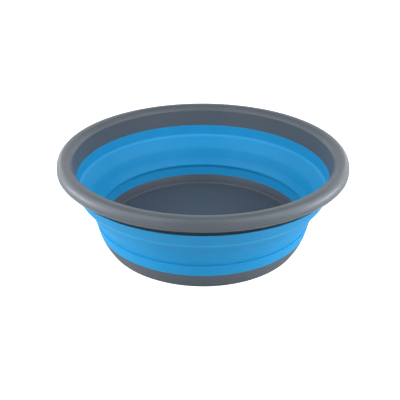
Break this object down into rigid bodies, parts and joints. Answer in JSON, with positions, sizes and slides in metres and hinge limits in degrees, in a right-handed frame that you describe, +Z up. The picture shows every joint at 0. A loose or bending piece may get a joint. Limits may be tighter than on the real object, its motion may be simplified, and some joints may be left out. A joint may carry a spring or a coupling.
{
  "type": "collapsible basin",
  "caption": "Round folding basin with a hard rolled rim, a soft stepped wall that collapses flat, and a hard base tray.",
  "frame": {"origin": "centre of the foot ring, on the surface that the basin stands on", "axes": "+Z up along the basin's own axis, out of its mouth; +X and +Y are any two upright directions, because it is round"},
  "size_m": [0.3734, 0.3734, 0.1229],
  "materials": {
    "pp_grey": "fine-textured moulded polypropylene",
    "tpe_blue": "satin moulded thermoplastic elastomer"
  },
  "bodies": {
    "base": {"base_tray": "pp_grey", "wall_lower_band": "tpe_blue", "wall_toe_band": "tpe_blue"},
    "waist": {"wall_waist_band": "tpe_blue"},
    "shoulder": {"wall_shoulder_band": "tpe_blue"},
    "rim": {"rim_ring": "pp_grey", "wall_upper_band": "tpe_blue"}
  },
  "joints": [
    {"name": "rim_slide", "type": "slide", "parent": "base", "child": "rim", "axis": [0, 0, -1], "range_m": [0, 0.072]},
    {"name": "shoulder_slide", "type": "slide", "parent": "base", "child": "shoulder", "axis": [0, 0, -1], "range_m": [0, 0.0548]},
    {"name": "waist_slide", "type": "slide", "parent": "base", "child": "waist", "axis": [0, 0, -1], "range_m": [0, 0.0202]}
  ],
  "couplings": [
    {"joint": "shoulder_slide", "follows": "rim_slide", "ratio": 0.76},
    {"joint": "waist_slide", "follows": "rim_slide", "ratio": 0.28}
  ]
}
